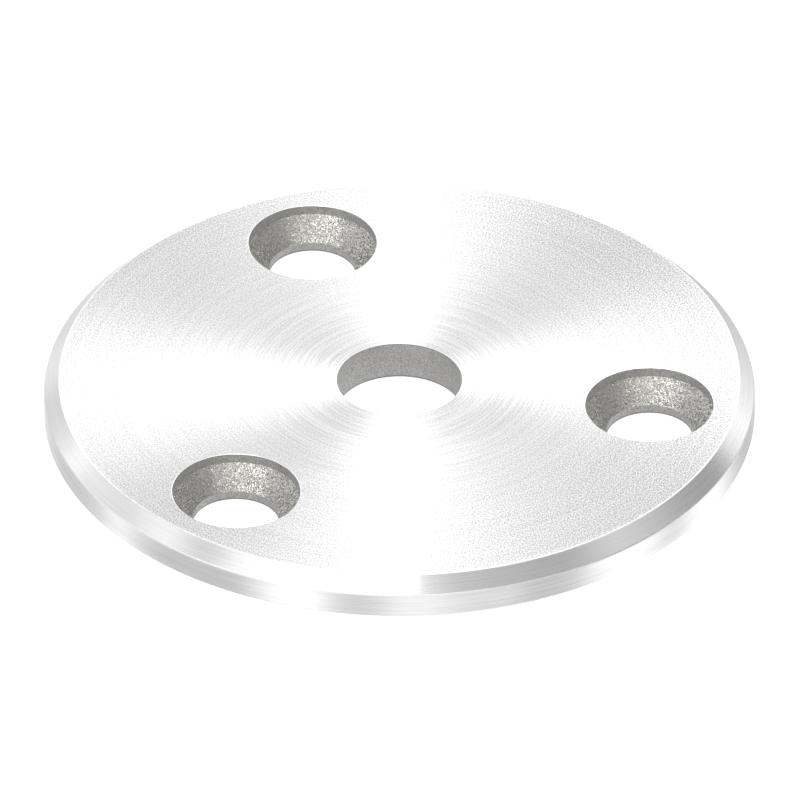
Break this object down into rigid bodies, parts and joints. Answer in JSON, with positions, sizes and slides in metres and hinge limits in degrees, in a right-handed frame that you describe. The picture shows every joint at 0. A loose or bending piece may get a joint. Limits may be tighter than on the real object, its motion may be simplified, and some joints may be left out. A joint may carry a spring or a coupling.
{
  "type": "drilled metal disc",
  "caption": "Round brushed steel fixing disc with a chamfered upper rim, a plain central bore and a ring of countersunk screw holes.",
  "frame": {"origin": "centre of the back face, on the disc's axis, which is where the disc meets a wall or floor", "axes": "+Z along the disc's axis, out of the chamfered face; +X from the axis through the first screw hole"},
  "size_m": [0.07, 0.07, 0.004],
  "materials": {
    "brushed_steel": "round brushed on the upper face, turned on the rim, plainly machined in the holes"
  },
  "bodies": {
    "root": {"disc": "brushed_steel"}
  },
  "joints": []
}
